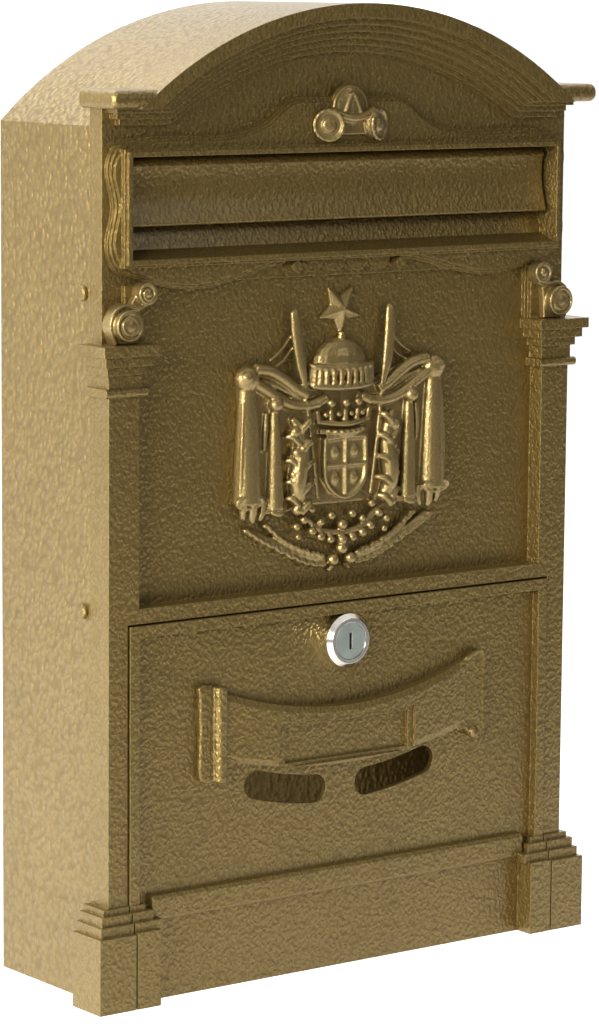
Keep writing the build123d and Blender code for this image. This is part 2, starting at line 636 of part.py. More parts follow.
# ---------------------------------------------------------------- letter flap
def letter_flap():
    """Flap hooked over its rod by a rounded crown, hollowed in the middle, with a rounded lip."""
    front = Spline((3.4, 344.6), (4.4, 338.0), (3.6, 330.0), (1.4, 322.0))
    back = Spline((3.2, 320.6), (5.6, 328.4), (6.4, 337.0), (5.8, 344.6))
    lip = ThreePointArc((1.4, 322.0), (1.9, 320.5), (3.2, 320.6))
    top = Line((5.8, 344.6), (3.4, 344.6))
    plate = make_face([*front.edges(), *lip.edges(), *back.edges(), *top.edges()])
    centre = Pos(FLAP_PIVOT_Y, FLAP_PIVOT_Z)
    ring = centre * Circle(FLAP_CROWN_RADIUS) - centre * Circle(FLAP_CROWN_RADIUS - FLAP_CROWN_WALL)
    crown = ring & (Pos(FLAP_PIVOT_Y - 2.5, FLAP_PIVOT_Z + 3.7) * Rectangle(5.6, 4.8))
    web = Pos(FLAP_PIVOT_Y - 2.1, FLAP_PIVOT_Z) * Rectangle(2.6, 2.0)
    roll = centre * Circle(FLAP_ROLL_RADIUS)
    face = Plane.YZ.offset(-FLAP_HALF_WIDTH) * (plate + crown + web + roll)
    body = extrude(face, amount=2 * FLAP_HALF_WIDTH)
    body = body - rod_x(
        FLAP_ROD_RADIUS + RUNNING_GAP,
        -FLAP_HALF_WIDTH - 1,
        FLAP_HALF_WIDTH + 1,
        FLAP_PIVOT_Y,
        FLAP_PIVOT_Z,
    )
    for side in LEFT_RIGHT:
        near = side * (SPRING_NEAR - 0.5)
        far = side * (SPRING_FAR + 0.5)
        body = body - rod_x(SPRING_RADIUS + 0.3, near, far, FLAP_PIVOT_Y, FLAP_PIVOT_Z)
    return body


def flap_rod():
    return rod_x(FLAP_ROD_RADIUS, -116.6, 116.6, FLAP_PIVOT_Y, FLAP_PIVOT_Z)


def flap_rod_clips():
    clips = []
    for side in LEFT_RIGHT:
        ring = rod_x(3.0, side * 114.1, side * 115.1, FLAP_PIVOT_Y, FLAP_PIVOT_Z)
        clips.append(ring - rod_x(FLAP_ROD_RADIUS, side * 113, side * 116, FLAP_PIVOT_Y, FLAP_PIVOT_Z))
    return Compound(children=clips)


def flap_spring(side):
    """Close-wound torsion spring on the rod: one leg in the casting, one down behind the flap."""
    wire = SPRING_WIRE_RADIUS
    coil = rod_x(SPRING_RADIUS, SPRING_NEAR, SPRING_FAR, FLAP_PIVOT_Y, FLAP_PIVOT_Z)
    anchor_y = FLAP_PIVOT_Y + SPRING_ANCHOR_Y
    link_x = SPRING_FAR - 2 * wire
    link = rod_y(wire, link_x, FLAP_PIVOT_Z, FLAP_PIVOT_Y + FLAP_ROD_RADIUS, anchor_y)
    held_leg = rod_x(wire * 0.96, link_x, SLOT_HALF_WIDTH + 1.5, anchor_y, FLAP_PIVOT_Z)
    free_leg = Pos(SPRING_NEAR + 2 * wire, FLAP_PIVOT_Y - 0.6, FLAP_PIVOT_Z - 5.0) * Cylinder(wire, 6.6)
    bore = rod_x(FLAP_ROD_RADIUS, SPRING_NEAR - 1, SPRING_FAR + 1, FLAP_PIVOT_Y, FLAP_PIVOT_Z)
    spring = coil + link + held_leg + free_leg - bore
    return mirror(spring, Plane.YZ) if side < 0 else spring


# ---------------------------------------------------------------- lock
def lock_body():
    bezel = rod_y(LOCK_BEZEL_RADIUS, 0, LOCK_Z, LOCK_FACE, DOOR_PANEL_FACE)
    bezel = chamfer(bezel.edges().group_by(Axis.Y)[0], 1.9)
    barrel = rod_y(LOCK_BARREL_RADIUS, 0, LOCK_Z, DOOR_PANEL_FACE - 1, LOCK_BARREL_BACK)
    bore = rod_y(LOCK_PLUG_RADIUS + RUNNING_GAP, 0, LOCK_Z, LOCK_FACE - 1, LOCK_BARREL_BACK + 1)
    step = rod_y(LOCK_PLUG_RADIUS + 1.4, 0, LOCK_Z, LOCK_FACE - 1, LOCK_FACE + 1.2)
    return bezel + barrel - bore - step


def lock_cylinder():
    """Plug with a disc head, an upright keyway and a square tail for the cam."""
    head = rod_y(LOCK_PLUG_RADIUS + 1.2, 0, LOCK_Z, LOCK_FACE + 0.3, LOCK_FACE + 1.1)
    plug = rod_y(LOCK_PLUG_RADIUS, 0, LOCK_Z, LOCK_FACE + 1.0, LOCK_BARREL_BACK + 0.4)
    tail_end = LOCK_BARREL_BACK + 0.4 + CAM_THICKNESS
    tail = block(-3.0, 3.0, LOCK_BARREL_BACK, tail_end, LOCK_Z - 3, LOCK_Z + 3)
    keyway = block(-0.7, 0.7, LOCK_FACE - 1, LOCK_FACE + 12, LOCK_Z - 3.6, LOCK_Z + 3.6)
    thread = rod_y(1.6, 0, LOCK_Z, LOCK_BARREL_BACK - 5, tail_end + 1)
    return head + plug + tail - keyway - thread


def lock_cam():
    """Flat cam, lying to the right while unlocked; a quarter turn sends it up behind the strike."""
    front = LOCK_BARREL_BACK + 0.4
    tip_x = CAM_REACH - 5
    blade = rect(0, tip_x, LOCK_Z - 5, LOCK_Z + 5) + disc(8.0, 0, LOCK_Z) + disc(5.0, tip_x, LOCK_Z)
    square = rect(-3.0, 3.0, LOCK_Z - 3.0, LOCK_Z + 3.0)
    return slab(blade - square, front, front + CAM_THICKNESS)


def cam_screw():
    seat = LOCK_BARREL_BACK + 0.4 + CAM_THICKNESS
    head = rod_y(5.0, 0, LOCK_Z, seat, seat + 2.2)
    shank = rod_y(1.6, 0, LOCK_Z, LOCK_BARREL_BACK - 4.5, seat + 0.5)
    slot = block(-6, 6, seat + 1.2, seat + 3, LOCK_Z - 0.6, LOCK_Z + 0.6)
    return head + shank - slot


def lock_washer():
    ring = rod_y(11.6, 0, LOCK_Z, DOOR_PANEL_BACK, DOOR_PANEL_BACK + 0.8)
    return ring - rod_y(LOCK_BARREL_RADIUS, 0, LOCK_Z, DOOR_PANEL_BACK - 1, DOOR_PANEL_BACK + 2)


def lock_nut():
    front = DOOR_PANEL_BACK + 0.8
    blank = slab(Pos(0, LOCK_Z) * RegularPolygon(13.0, 6), front, front + 3.2)
    return blank - rod_y(LOCK_BARREL_RADIUS, 0, LOCK_Z, front - 1, front + 5)


# ---------------------------------------------------------------- side screws
def side_screws():
    screws = []
    for side in LEFT_RIGHT:
        for z in SIDE_SCREW_HEIGHTS:
            shank = rod_x(SIDE_SCREW_RADIUS, side * 115.0, side * CASE_HALF_WIDTH, SIDE_SCREW_Y, z)
            head = rod_x(3.2, side * CASE_HALF_WIDTH, side * (CASE_HALF_WIDTH + 1.9), SIDE_SCREW_Y, z)
            end = head.edges().group_by(Axis.X)[-1 if side > 0 else 0]
            screws.append(shank + fillet(end, 1.2))
    return Compound(children=screws)


# ---------------------------------------------------------------- write every piece
field_seat = FIELD_FACE + CASTING_WALL
PIECES = {
    "rear_casing": rear_casing(),
    "front_casting": front_casting(),
    "crest": crest(),
    "crest_nuts": stud_nuts(CREST_STUDS, field_seat),
    "console_left": console(-1),
    "console_right": console(1),
    "console_nuts": stud_nuts(CONSOLE_STUDS, ATTIC_BACK),
    "keystone_scroll": keystone_scroll(),
    "keystone_nut": stud_nuts(KEYSTONE_STUDS, FRIEZE_FACE + CASTING_WALL),
    "door": door(),
    "name_scroll": name_scroll(),
    "name_scroll_nuts": stud_nuts(
        [(side * SCROLL_STUD_X, SCROLL_STUD_Z) for side in LEFT_RIGHT], DOOR_PANEL_BACK
    ),
    "hinge_pin_left": hinge_pin(-1),
    "hinge_pin_right": hinge_pin(1),
    "letter_flap": letter_flap(),
    "flap_rod": flap_rod(),
    "flap_rod_clips": flap_rod_clips(),
    "flap_spring_left": flap_spring(-1),
    "flap_spring_right": flap_spring(1),
    "lock_body": lock_body(),
    "lock_cylinder": lock_cylinder(),
    "lock_cam": lock_cam(),
    "cam_screw": cam_screw(),
    "lock_washer": lock_washer(),
    "lock_nut": lock_nut(),
    "side_screws": side_screws(),
}

os.makedirs("parts", exist_ok=True)
to_origin = Location((0, -CASE_BACK, -MOUNT_HEIGHT))
for name, piece in PIECES.items():
    export_step(to_origin * piece, f"parts/{name}.step")
    print(name, "written")
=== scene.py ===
"""Wall mounted mailbox: looks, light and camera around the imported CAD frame."""
import math

import bmesh
import bpy
from mathutils import Matrix, Vector


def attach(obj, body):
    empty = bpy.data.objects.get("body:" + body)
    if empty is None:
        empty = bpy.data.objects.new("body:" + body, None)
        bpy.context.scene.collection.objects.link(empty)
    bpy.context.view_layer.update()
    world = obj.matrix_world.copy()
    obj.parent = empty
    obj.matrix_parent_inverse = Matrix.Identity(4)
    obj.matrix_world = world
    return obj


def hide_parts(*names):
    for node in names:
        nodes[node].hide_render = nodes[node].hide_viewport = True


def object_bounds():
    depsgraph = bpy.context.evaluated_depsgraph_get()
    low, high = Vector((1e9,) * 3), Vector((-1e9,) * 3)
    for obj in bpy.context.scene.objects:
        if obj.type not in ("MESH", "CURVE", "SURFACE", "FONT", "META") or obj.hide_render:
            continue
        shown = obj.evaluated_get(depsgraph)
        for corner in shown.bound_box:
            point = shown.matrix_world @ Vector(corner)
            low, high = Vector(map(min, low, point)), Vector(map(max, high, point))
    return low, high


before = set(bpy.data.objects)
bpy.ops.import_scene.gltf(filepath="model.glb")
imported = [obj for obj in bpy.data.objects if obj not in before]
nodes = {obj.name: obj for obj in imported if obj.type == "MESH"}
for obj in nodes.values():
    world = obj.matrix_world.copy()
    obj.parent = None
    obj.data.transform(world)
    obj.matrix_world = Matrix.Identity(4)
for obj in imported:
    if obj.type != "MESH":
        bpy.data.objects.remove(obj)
cad_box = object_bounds()
scene = bpy.context.scene

MM = 0.001


# ------------------------------------------------------------------ camera
FOCAL_LENGTH = 130.9
SENSOR = 36.0
CAMERA_AZIMUTH = math.radians(-37.157)
CAMERA_ELEVATION = math.radians(8.152)
CAMERA_ROLL = math.radians(0.471)
CAMERA_DISTANCE = 1.55886
CAMERA_TARGET = Vector((-0.024563, -0.0785, -0.011346))


def add_camera():
    camera_data = bpy.data.cameras.new("camera")
    camera_data.lens = FOCAL_LENGTH
    camera_data.sensor_width = SENSOR
    camera_data.clip_start = 0.05
    camera_data.clip_end = 50.0
    camera = bpy.data.objects.new("camera", camera_data)
    scene.collection.objects.link(camera)
    flat = math.cos(CAMERA_ELEVATION)
    back = Vector(
        (
            math.sin(CAMERA_AZIMUTH) * flat,
            -math.cos(CAMERA_AZIMUTH) * flat,
            math.sin(CAMERA_ELEVATION),
        )
    )
    right = (-back).cross(Vector((0, 0, 1))).normalized()
    up = right.cross(-back)
    rolled_right = math.cos(CAMERA_ROLL) * right + math.sin(CAMERA_ROLL) * up
    rolled_up = math.cos(CAMERA_ROLL) * up - math.sin(CAMERA_ROLL) * right
    axes = Matrix((rolled_right, rolled_up, back)).transposed().to_4x4()
    camera.matrix_world = Matrix.Translation(CAMERA_TARGET + back * CAMERA_DISTANCE) @ axes
    scene.camera = camera


# ------------------------------------------------------------------ materials
class Graph:
    """A material with its node tree and its Principled shader."""

    def __init__(self, name):
        self.material = bpy.data.materials.new(name)
        self.material.use_nodes = True
        self.tree = self.material.node_tree
        self.shader = self.tree.nodes["Principled BSDF"]

    def node(self, kind, **settings):
        made = self.tree.nodes.new(kind)
        for key, value in settings.items():
            if key in made.inputs:
                made.inputs[key].default_value = value
            else:
                setattr(made, key, value)
        return made

    def link(self, source, target):
        self.tree.links.new(source, target)

    def ramp(self, source, *stops):
        made = self.tree.nodes.new("ShaderNodeValToRGB")
        elements = made.color_ramp.elements
        while len(elements) < len(stops):
            elements.new(0.5)
        for element, (position, colour) in zip(elements, stops):
            element.position = position
            if isinstance(colour, (int, float)):
                colour = (colour, colour, colour)
            element.color = (*colour, 1.0)
        self.link(source, made.inputs["Fac"])
        return made.outputs["Color"]

    def set(self, **values):
        for key, value in values.items():
            self.shader.inputs[key.replace("_", " ")].default_value = value


def hammered_paint(name, light, dark, scale, depth, gloss):
    """Hammertone enamel: shallow domes with sunken wrinkles; gloss is the roughness of a dome."""
    g = Graph(name)
    place = g.node("ShaderNodeTexCoord").outputs["Object"]
    squeeze = g.node("ShaderNodeMapping")
    squeeze.inputs["Scale"].default_value = (1.0, 1.0, 0.82)
    g.link(place, squeeze.inputs["Vector"])
    warp = g.node("ShaderNodeTexNoise", Scale=scale * 0.55, Detail=2.0, Roughness=0.5)
    g.link(place, warp.inputs["Vector"])
    shift = g.node("ShaderNodeVectorMath", operation="MULTIPLY_ADD")
    shift.inputs[1].default_value = (0.0026, 0.0026, 0.0026)
    g.link(warp.outputs["Color"], shift.inputs[0])
    g.link(squeeze.outputs["Vector"], shift.inputs[2])
    cells = g.node("ShaderNodeTexVoronoi", feature="SMOOTH_F1", Scale=scale, Smoothness=0.7)
    g.link(shift.outputs["Vector"], cells.inputs["Vector"])
    cloud = g.node("ShaderNodeTexNoise", Scale=24.0, Detail=4.0, Roughness=0.6)
    g.link(place, cloud.inputs["Vector"])
    # Colour darkens from the domes into the sunken wrinkles: partly the paint's own mottle, partly painted
    # shade in the wrinkles.
    cell_tone_and_wrinkle_shade = g.ramp(cells.outputs["Distance"], (0.3, light), (0.75, dark))
    cloud_tone = g.ramp(cloud.outputs["Fac"], (0.3, 0.9), (0.7, 1.0))
    mixed = g.node("ShaderNodeMix", data_type="RGBA", blend_type="MULTIPLY")
    mixed.inputs["Factor"].default_value = 1.0
    g.link(cell_tone_and_wrinkle_shade, mixed.inputs["A"])
    g.link(cloud_tone, mixed.inputs["B"])
    g.link(mixed.outputs["Result"], g.shader.inputs["Base Color"])
    rough = g.ramp(cells.outputs["Distance"], (0.2, gloss), (0.7, gloss + 0.12))
    g.link(rough, g.shader.inputs["Roughness"])
    bevel = g.node("ShaderNodeBevel", samples=4, Radius=0.0007)
    bump = g.node("ShaderNodeBump", Strength=0.6, Distance=depth, invert=True)
    g.link(cells.outputs["Distance"], bump.inputs["Height"])
    g.link(bevel.outputs["Normal"], bump.inputs["Normal"])
    g.link(bump.outputs["Normal"], g.shader.inputs["Normal"])
    g.set(Metallic=0.8, Specular_IOR_Level=0.5, Coat_Weight=0.28, Coat_Roughness=0.2)
    return g.material


def plated_metal(name, colour, roughness, scratch):
    """Plated steel or zinc with fine polishing marks and faint tarnish."""
    g = Graph(name)
    place = g.node("ShaderNodeTexCoord").outputs["Object"]
    marks = g.node("ShaderNodeTexNoise", Scale=900.0, Detail=5.0, Roughness=0.7)
    stretch = g.node("ShaderNodeMapping")
    stretch.inputs["Scale"].default_value = (1.0, 1.0, 0.12)
    g.link(place, stretch.inputs["Vector"])
    g.link(stretch.outputs["Vector"], marks.inputs["Vector"])
    tarnish = g.node("ShaderNodeTexNoise", Scale=160.0, Detail=3.0)
    g.link(place, tarnish.inputs["Vector"])
    shade = tuple(c * 0.86 for c in colour)
    g.link(g.ramp(tarnish.outputs["Fac"], (0.35, shade), (0.6, colour)), g.shader.inputs["Base Color"])
    rough = g.ramp(marks.outputs["Fac"], (0.3, roughness * 0.75), (0.7, roughness * 1.35))
    g.link(rough, g.shader.inputs["Roughness"])
    bevel = g.node("ShaderNodeBevel", samples=4, Radius=0.0003)
    bump = g.node("ShaderNodeBump", Strength=scratch, Distance=0.0001)
    g.link(marks.outputs["Fac"], bump.inputs["Height"])
    g.link(bevel.outputs["Normal"], bump.inputs["Normal"])
    g.link(bump.outputs["Normal"], g.shader.inputs["Normal"])
    g.set(Metallic=1.0)
    return g.material


BRONZE = hammered_paint(
    "hammered_bronze",
    light=(0.202, 0.140, 0.042),
    dark=(0.164, 0.111, 0.031),
    scale=640.0,
    depth=0.0008,
    gloss=0.36,
)
CASING = hammered_paint(
    "hammered_bronze_deep",
    light=(0.212, 0.147, 0.046),
    dark=(0.160, 0.108, 0.031),
    scale=430.0,
    depth=0.0016,
    gloss=0.36,
)
# Same bronze paint as the field, with finer cells and lower roughness, and a lighter base colour: the lighter
# colour is a painted highlight that brightens the crest, brackets and keystone.
ORNAMENT_FINE_PAINTED_HIGHLIGHT = hammered_paint(
    "hammered_bronze_fine_painted_highlight",
    light=(0.29, 0.212, 0.082),
    dark=(0.24, 0.170, 0.060),
    scale=900.0,
    depth=0.00022,
    gloss=0.29,
)
CHROME = plated_metal("chrome", (0.80, 0.77, 0.70), 0.14, 0.15)
LOCK_STEEL = plated_metal("lock_steel", (0.42, 0.47, 0.43), 0.42, 0.5)
ZINC = plated_metal("zinc_steel", (0.55, 0.56, 0.57), 0.35, 0.4)
SPRING_STEEL = plated_metal("spring_steel", (0.50, 0.51, 0.52), 0.30, 0.3)

NODE_FINISH = {
    "rear_casing": CASING,
    "front_casting": BRONZE,
    "crest": BRONZE,
    "console_left": BRONZE,
    "console_right": BRONZE,
    "keystone_scroll": BRONZE,
    "door": BRONZE,
    "name_scroll": BRONZE,
    "letter_flap": BRONZE,
    "side_screws": BRONZE,
    "lock_body": CHROME,
    "lock_cylinder": LOCK_STEEL,
}


def finish_nodes():
    for name, node in nodes.items():
        node.data.materials.clear()
        node.data.materials.append(NODE_FINISH.get(name, ZINC))


# ------------------------------------------------------------------ modelling in the drawing frame
# Millimetres: X right, Y from the front towards the wall, Z up from the foot of the plinth.
ORIGIN_Y = 78.5
ORIGIN_Z = 210.0
FIELD_Y = 6.3
DOOR_PANEL_Y = 2.0
FRIEZE_Y = 4.0
ATTIC_Y = 1.8
ATTIC_OUTER = 112.0         # where the raised block beside a bracket ends
PLATE_Y = -0.2              # face of the plate round the slot
PLATE_TOP = 369.4
NAME_SCROLL_HALF = 66.0     # half the length of its ribbon, without the rolled ends
LEFT_RIGHT = (-1, 1)


def smooth_path(points, per_span=6):
    """Catmull-Rom curve through points of any dimension."""
    if len(points) < 3:
        return [tuple(p) for p in points]
    padded = [points[0], *points, points[-1]]
    path = []
    for i in range(1, len(padded) - 2):
        p0, p1, p2, p3 = padded[i - 1:i + 3]
        for k in range(per_span):
            t = k / per_span
            path.append(tuple(
                0.5 * (2 * b + (c - a) * t + (2 * a - 5 * b + 4 * c - d) * t * t
                       + (3 * b - a - 3 * c + d) * t ** 3)
                for a, b, c, d in zip(p0, p1, p2, p3)
            ))
    path.append(tuple(points[-1]))
    return path


class Clay:
    """Closed overlapping shapes standing on a surface at Y = base, later fused into one skin."""

    def __init__(self, base):
        self.base = base
        self.bm = bmesh.new()

    def sweep(self, path, flat=1.0, sides=12, through=False):
        """Rod along path of (x, z, relief, radius); flat scales it across the surface."""
        centres = [Vector((x, self.base - relief, z)) for x, z, relief, radius in path]
        radii = [step[3] for step in path]
        rings = []
        normal = None
        for i, centre in enumerate(centres):
            ahead = centres[min(i + 1, len(centres) - 1)] - centres[max(i - 1, 0)]
            tangent = ahead.normalized()
            if through:
                if normal is None:
                    normal = tangent.orthogonal().normalized()
                normal = (normal - tangent * normal.dot(tangent)).normalized()
                second = tangent.cross(normal)
            else:
                normal = Vector((0, 1, 0)).cross(tangent).normalized()
                second = tangent.cross(normal)
            ring = []
            for k in range(sides):
                angle = 2 * math.pi * k / sides
                offset = normal * math.cos(angle) + second * (math.sin(angle) * flat)
                ring.append(self.bm.verts.new(centre + offset * radii[i]))
            rings.append(ring)
        for first, after in zip(rings, rings[1:]):
            for k in range(sides):
                j = (k + 1) % sides
                self.bm.faces.new((first[k], first[j], after[j], after[k]))
        self.bm.faces.new(list(reversed(rings[0])))
        self.bm.faces.new(rings[-1])
        return [v for ring in rings for v in ring]

    def tube(self, points, flat=1.0, sides=12, both=False):
        """Rod through a few (x, z, relief, radius) points; both makes the mirror image as well."""
        self.sweep(smooth_path(points), flat, sides)
        if both:
            self.sweep(smooth_path([(-x, z, e, r) for x, z, e, r in points]), flat, sides)

    def ball(self, x, z, relief, rx, rz=None, ry=None, turn=0.0, both=False):
        """Ellipsoid with half sizes rx, rz in the elevation and ry towards the front."""
        rz = rx if rz is None else rz
        ry = rx if ry is None else ry
        for side in ((1, -1) if both else (1,)):
            place = Matrix.Translation((side * x, self.base - relief, z))
            spin = Matrix.Rotation(-side * turn, 4, "Y")
            size = Matrix.Diagonal((rx, ry, rz, 1.0))
            bmesh.ops.create_uvsphere(
                self.bm, u_segments=16, v_segments=10, radius=1.0, matrix=place @ spin @ size
            )

    def lathe(self, x, z, profile, sides=40, tilt=0.0):
        """Turned boss at (x, z) from (radius, relief) steps; tilt swings its face sideways."""
        rings = []
        place = Matrix.Translation((x, self.base, z)) @ Matrix.Rotation(tilt, 4, "Z")
        for radius, relief in profile:
            ring = []
            for k in range(sides):
                angle = 2 * math.pi * k / sides
                ring.append(self.bm.verts.new(
                    place @ Vector((radius * math.cos(angle), -relief, radius * math.sin(angle)))
                ))
            rings.append(ring)
        for first, after in zip(rings, rings[1:]):
            for k in range(sides):
                j = (k + 1) % sides
                self.bm.faces.new((first[k], first[j], after[j], after[k]))
        self.bm.faces.new(list(reversed(rings[0])))
        self.bm.faces.new(rings[-1])

    def plate(self, outline, steps):
        """Plate from a closed (x, z) outline; steps are (inset, relief) from its back to its face."""
        count = len(outline)
        area = sum(
            outline[i][0] * outline[(i + 1) % count][1] - outline[(i + 1) % count][0] * outline[i][1]
            for i in range(count)
        )
        turn = 1 if area > 0 else -1
        rings = []
        for inset, relief in steps:
            ring = []
            for i, (x, z) in enumerate(outline):
                before = outline[i - 1]
                after = outline[(i + 1) % count]
                along = Vector((after[0] - before[0], after[1] - before[1])).normalized()
                inward = Vector((-along.y, along.x)) * turn
                ring.append(self.bm.verts.new(
                    (x + inward.x * inset, self.base - relief, z + inward.y * inset)
                ))
            rings.append(ring)
        for first, after in zip(rings, rings[1:]):
            for k in range(count):
                j = (k + 1) % count
                self.bm.faces.new((first[k], first[j], after[j], after[k]))
        self.bm.faces.new(list(reversed(rings[0])))
        self.bm.faces.new(rings[-1])

    def lathe_up(self, x, y, radius, low, high, sides=32):
        """Upright roller with softened ends, centred at (x, y)."""
        rings = []
        for z, shrink in ((low, 0.6), (low + 0.6, 0.0), (high - 0.6, 0.0), (high, 0.6)):
            rings.append([
                self.bm.verts.new((
                    x + (radius - shrink) * math.cos(2 * math.pi * k / sides),
                    y + (radius - shrink) * math.sin(2 * math.pi * k / sides),
                    z,
                ))
                for k in range(sides)
            ])
        for first, after in zip(rings, rings[1:]):
            for k in range(sides):
                j = (k + 1) % sides
                self.bm.faces.new((first[k], first[j], after[j], after[k]))
        self.bm.faces.new(list(reversed(rings[0])))
        self.bm.faces.new(rings[-1])

    def cut_box(self, x0, x1, y0, y1, z0, z1):
        """Closed box with the given corners, kept apart for cutting."""
        made = bmesh.ops.create_cube(self.bm, size=1.0)
        for vertex in made["verts"]:
            vertex.co.x = x0 if vertex.co.x < 0 else x1
            vertex.co.y = y0 if vertex.co.y < 0 else y1
            vertex.co.z = z0 if vertex.co.z < 0 else z1

    def to_object(self, name):
        bmesh.ops.recalc_face_normals(self.bm, faces=self.bm.faces)
        for vertex in self.bm.verts:
            x, y, z = vertex.co
            vertex.co = Vector((x, y - ORIGIN_Y, z - ORIGIN_Z)) * MM
        mesh = bpy.data.meshes.new(name)
        self.bm.to_mesh(mesh)
        self.bm.free()
        made = bpy.data.objects.new(name, mesh)
        scene.collection.objects.link(made)
        return made


def apply_modifiers(made):
    """Replace the mesh by what its modifiers make of it."""
    bpy.context.view_layer.update()
    evaluated = made.evaluated_get(bpy.context.evaluated_depsgraph_get())
    mesh = bpy.data.meshes.new_from_object(evaluated)
    made.modifiers.clear()
    made.data = mesh


def fuse(made, voxel, rounds=2):
    """Melt overlapping shapes into one closed skin and soften the steps of the grid."""
    remesh = made.modifiers.new("fuse", "REMESH")
    remesh.mode = "VOXEL"
    remesh.voxel_size = voxel * MM
    soften = made.modifiers.new("soften", "SMOOTH")
    soften.factor = 0.5
    soften.iterations = rounds
    apply_modifiers(made)
    for polygon in made.data.polygons:
        polygon.use_smooth = True


def trim_back(made, y):
    """Flatten whatever reaches behind the surface the piece is seated on."""
    limit = (y - ORIGIN_Y) * MM
    for vertex in made.data.vertices:
        vertex.co.y = min(vertex.co.y, limit)


def settle(made, material, body, slot_name, *stands_for):
    """Give a finished piece its paint and its body, and hide the nodes that it stands for; slot_name is not
    used.
    """
    made.data.materials.clear()
    made.data.materials.append(material)
    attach(made, body)
    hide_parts(*stands_for)


# ------------------------------------------------------------------ crest
def swag(clay, points, relief, thick):
    clay.tube([(x, z, relief, thick) for x, z in points], both=True)


def crest_star(clay):
    """Five-pointed star with two points up, each arm folded to a ridge."""
    centre_z, outer, inner = 282.5, 11.6, 5.6
    tip = clay.bm.verts.new((0, clay.base - 4.8, centre_z))
    back = clay.bm.verts.new((0, clay.base + 0.5, centre_z))
    front_ring, back_ring = [], []
    for k in range(10):
        radius = outer if k % 2 == 0 else inner
        angle = math.radians(-90 + 36 * k)
        x, z = radius * math.cos(angle), centre_z + radius * math.sin(angle)
        front_ring.append(clay.bm.verts.new((x, clay.base - 1.3, z)))
        back_ring.append(clay.bm.verts.new((x, clay.base + 0.5, z)))
    for k in range(10):
        j = (k + 1) % 10
        clay.bm.faces.new((tip, front_ring[j], front_ring[k]))
        clay.bm.faces.new((back, back_ring[k], back_ring[j]))
        clay.bm.faces.new((front_ring[k], front_ring[j], back_ring[j], back_ring[k]))


def crest_cap(clay):
    """Smooth round cap on a ribbed drum, with the stem of the star."""
    clay.tube([(0, 266, 2.0, 1.8), (0, 273, 2.0, 1.6)])
    clay.ball(0, 260.0, 0.8, 14.0, 10.6, 6.6)
    clay.tube([(-6.6, 262, 5.2, 1.0), (-3.4, 267, 3.8, 0.9), (-0.6, 270, 2.2, 0.7)], both=True)
    drum, depth = 16.6, 6.4
    for k in range(13):
        angle = math.radians(12 + 13 * k)
        x = drum * math.cos(angle)
        lift = 1.0 + depth * math.sin(angle)
        foot = 252.4 - 1.4 * math.sin(angle)
        clay.tube([(x, foot, lift, 1.25), (x * 0.97, foot + 6.4, lift, 1.25)])
    for low, thick in ((251.4, 1.4), (259.6, 1.3)):
        clay.tube([
            (drum * math.cos(math.radians(a)), low - 1.4 * math.sin(math.radians(a)),
             0.8 + depth * math.sin(math.radians(a)), thick)
            for a in range(6, 175, 14)
        ])


def crest_staffs(clay):
    """Pointed blade and thin rod leaning outwards on each side, with a cord to the shoulder."""
    clay.tube([(25.9, 283.6, 2.8, 1.2), (25.4, 281.6, 3.2, 2.3), (24.6, 272, 3.8, 2.6), (22.8, 260, 4.6, 2.4),
               (21.2, 253, 4.6, 1.5), (20.0, 247, 4.2, 0.8)], flat=0.6, both=True)
    clay.tube([(20.6, 250, 4.0, 0.9), (17.2, 226, 5.0, 0.9), (14.0, 203.5, 5.0, 0.9)], both=True)
    clay.tube([(26.4, 272.5, 2.0, 0.6), (31, 267.0, 1.8, 0.6), (37.5, 262.5, 2.0, 0.6)], both=True)
    clay.tube([(25.2, 268.0, 2.0, 0.55), (30, 262.5, 1.8, 0.55), (35.5, 259.5, 2.0, 0.55)], both=True)


